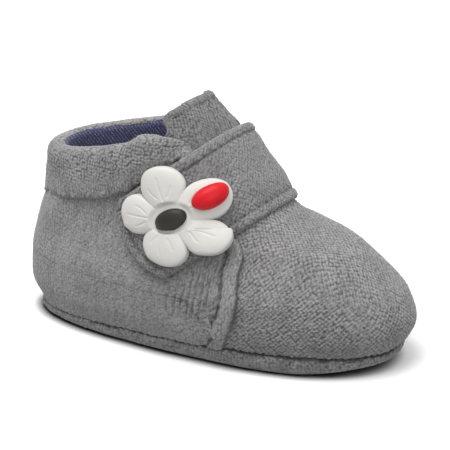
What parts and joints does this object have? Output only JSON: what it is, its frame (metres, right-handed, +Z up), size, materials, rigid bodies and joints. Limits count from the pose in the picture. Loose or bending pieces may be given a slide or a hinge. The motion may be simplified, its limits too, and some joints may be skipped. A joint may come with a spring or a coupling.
{
  "type": "baby bootie slipper",
  "caption": "Soft baby bootie with a padded cuff, tongue, wide instep strap and a moulded flower badge, for indoor wear.",
  "frame": {"origin": "on the flat underside of the sole, below the middle of the shoe's length", "axes": "+X towards the toe, +Y towards the inner side of the foot, +Z up"},
  "size_m": [0.1225, 0.0607, 0.0678],
  "materials": {
    "grey_velour": "looped velour, matt",
    "navy_lining": "fine twill lining, matt",
    "white_rubber": "soft moulding, satin",
    "charcoal_rubber": "soft moulding, satin",
    "red_rubber": "soft moulding, satin"
  },
  "bodies": {
    "root": {"outsole": "grey_velour", "insole": "navy_lining", "upper": "grey_velour", "tongue": "grey_velour", "cuff": "grey_velour", "strap": "grey_velour", "badge_flower": "white_rubber", "badge_button": "charcoal_rubber", "badge_berry": "red_rubber"}
  },
  "joints": []
}
